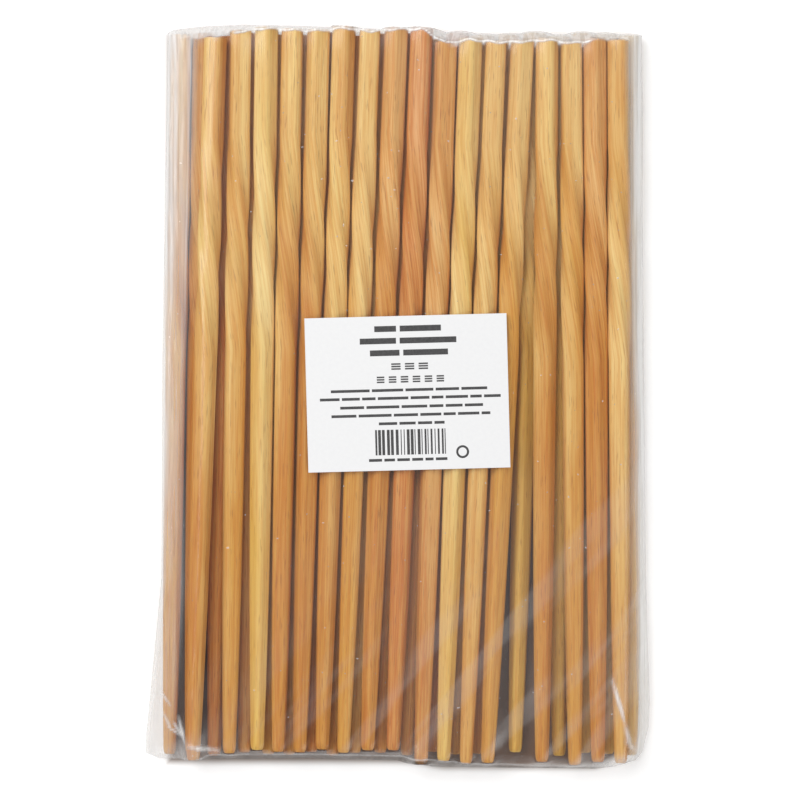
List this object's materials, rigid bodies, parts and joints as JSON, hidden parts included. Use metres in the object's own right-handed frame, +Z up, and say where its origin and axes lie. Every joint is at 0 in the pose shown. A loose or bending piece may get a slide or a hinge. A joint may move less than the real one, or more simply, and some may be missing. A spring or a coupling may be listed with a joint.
{
  "type": "pack of bamboo chopsticks",
  "caption": "Sealed clear film pack of twisted bamboo chopsticks in two layers, all pointing one way, with a plain paper label on top.",
  "frame": {"origin": "centre of the pack's footprint, on the surface that it lies on", "axes": "+X to the right in the picture, +Y along the sticks towards their thick ends, +Z up through the label"},
  "size_m": [0.1654, 0.245, 0.0154],
  "materials": {
    "bamboo": "smooth unvarnished bamboo, honey to light amber",
    "film": "clear thin film, glossy and wrinkled",
    "label": "white self-adhesive paper, matt"
  },
  "bodies": {
    "root": {"lower_stick_01": "bamboo", "lower_stick_02": "bamboo", "lower_stick_03": "bamboo", "lower_stick_04": "bamboo", "lower_stick_05": "bamboo", "lower_stick_06": "bamboo", "lower_stick_07": "bamboo", "lower_stick_08": "bamboo", "lower_stick_09": "bamboo", "lower_stick_10": "bamboo", "lower_stick_11": "bamboo", "lower_stick_12": "bamboo", "lower_stick_13": "bamboo", "lower_stick_14": "bamboo", "lower_stick_15": "bamboo", "lower_stick_16": "bamboo", "lower_stick_17": "bamboo", "lower_stick_18": "bamboo", "lower_stick_19": "bamboo", "top_stick_01": "bamboo", "top_stick_02": "bamboo", "top_stick_03": "bamboo", "top_stick_04": "bamboo", "top_stick_05": "bamboo", "top_stick_06": "bamboo", "top_stick_07": "bamboo", "top_stick_08": "bamboo", "top_stick_09": "bamboo", "top_stick_10": "bamboo", "top_stick_11": "bamboo", "top_stick_12": "bamboo", "top_stick_13": "bamboo", "top_stick_14": "bamboo", "top_stick_15": "bamboo", "top_stick_16": "bamboo", "top_stick_17": "bamboo", "film_bag": "film", "paper_label": "label"}
  },
  "joints": []
}
